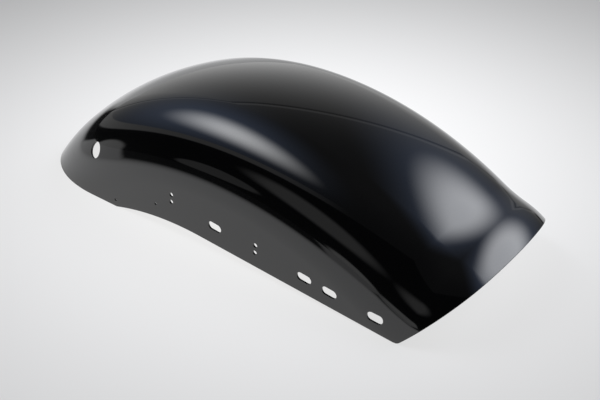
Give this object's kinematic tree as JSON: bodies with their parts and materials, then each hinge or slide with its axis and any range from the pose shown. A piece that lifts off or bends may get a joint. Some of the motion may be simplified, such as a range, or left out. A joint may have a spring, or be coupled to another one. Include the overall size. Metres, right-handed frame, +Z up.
{
  "type": "motorcycle rear fender",
  "caption": "Short steel rear fender with a crown rolled over the wheel, flat slotted sides, an arched lower edge and a flared tail.",
  "frame": {"origin": "middle of the length and width, on the surface that the fender rests on", "axes": "+X towards the tail, +Y to the right-hand side seen from above with the tail at the back, +Z up"},
  "size_m": [0.5774, 0.234, 0.148],
  "materials": {
    "black_paint": "high-gloss black paint on pressed steel"
  },
  "bodies": {
    "root": {"fender": "black_paint"}
  },
  "joints": []
}
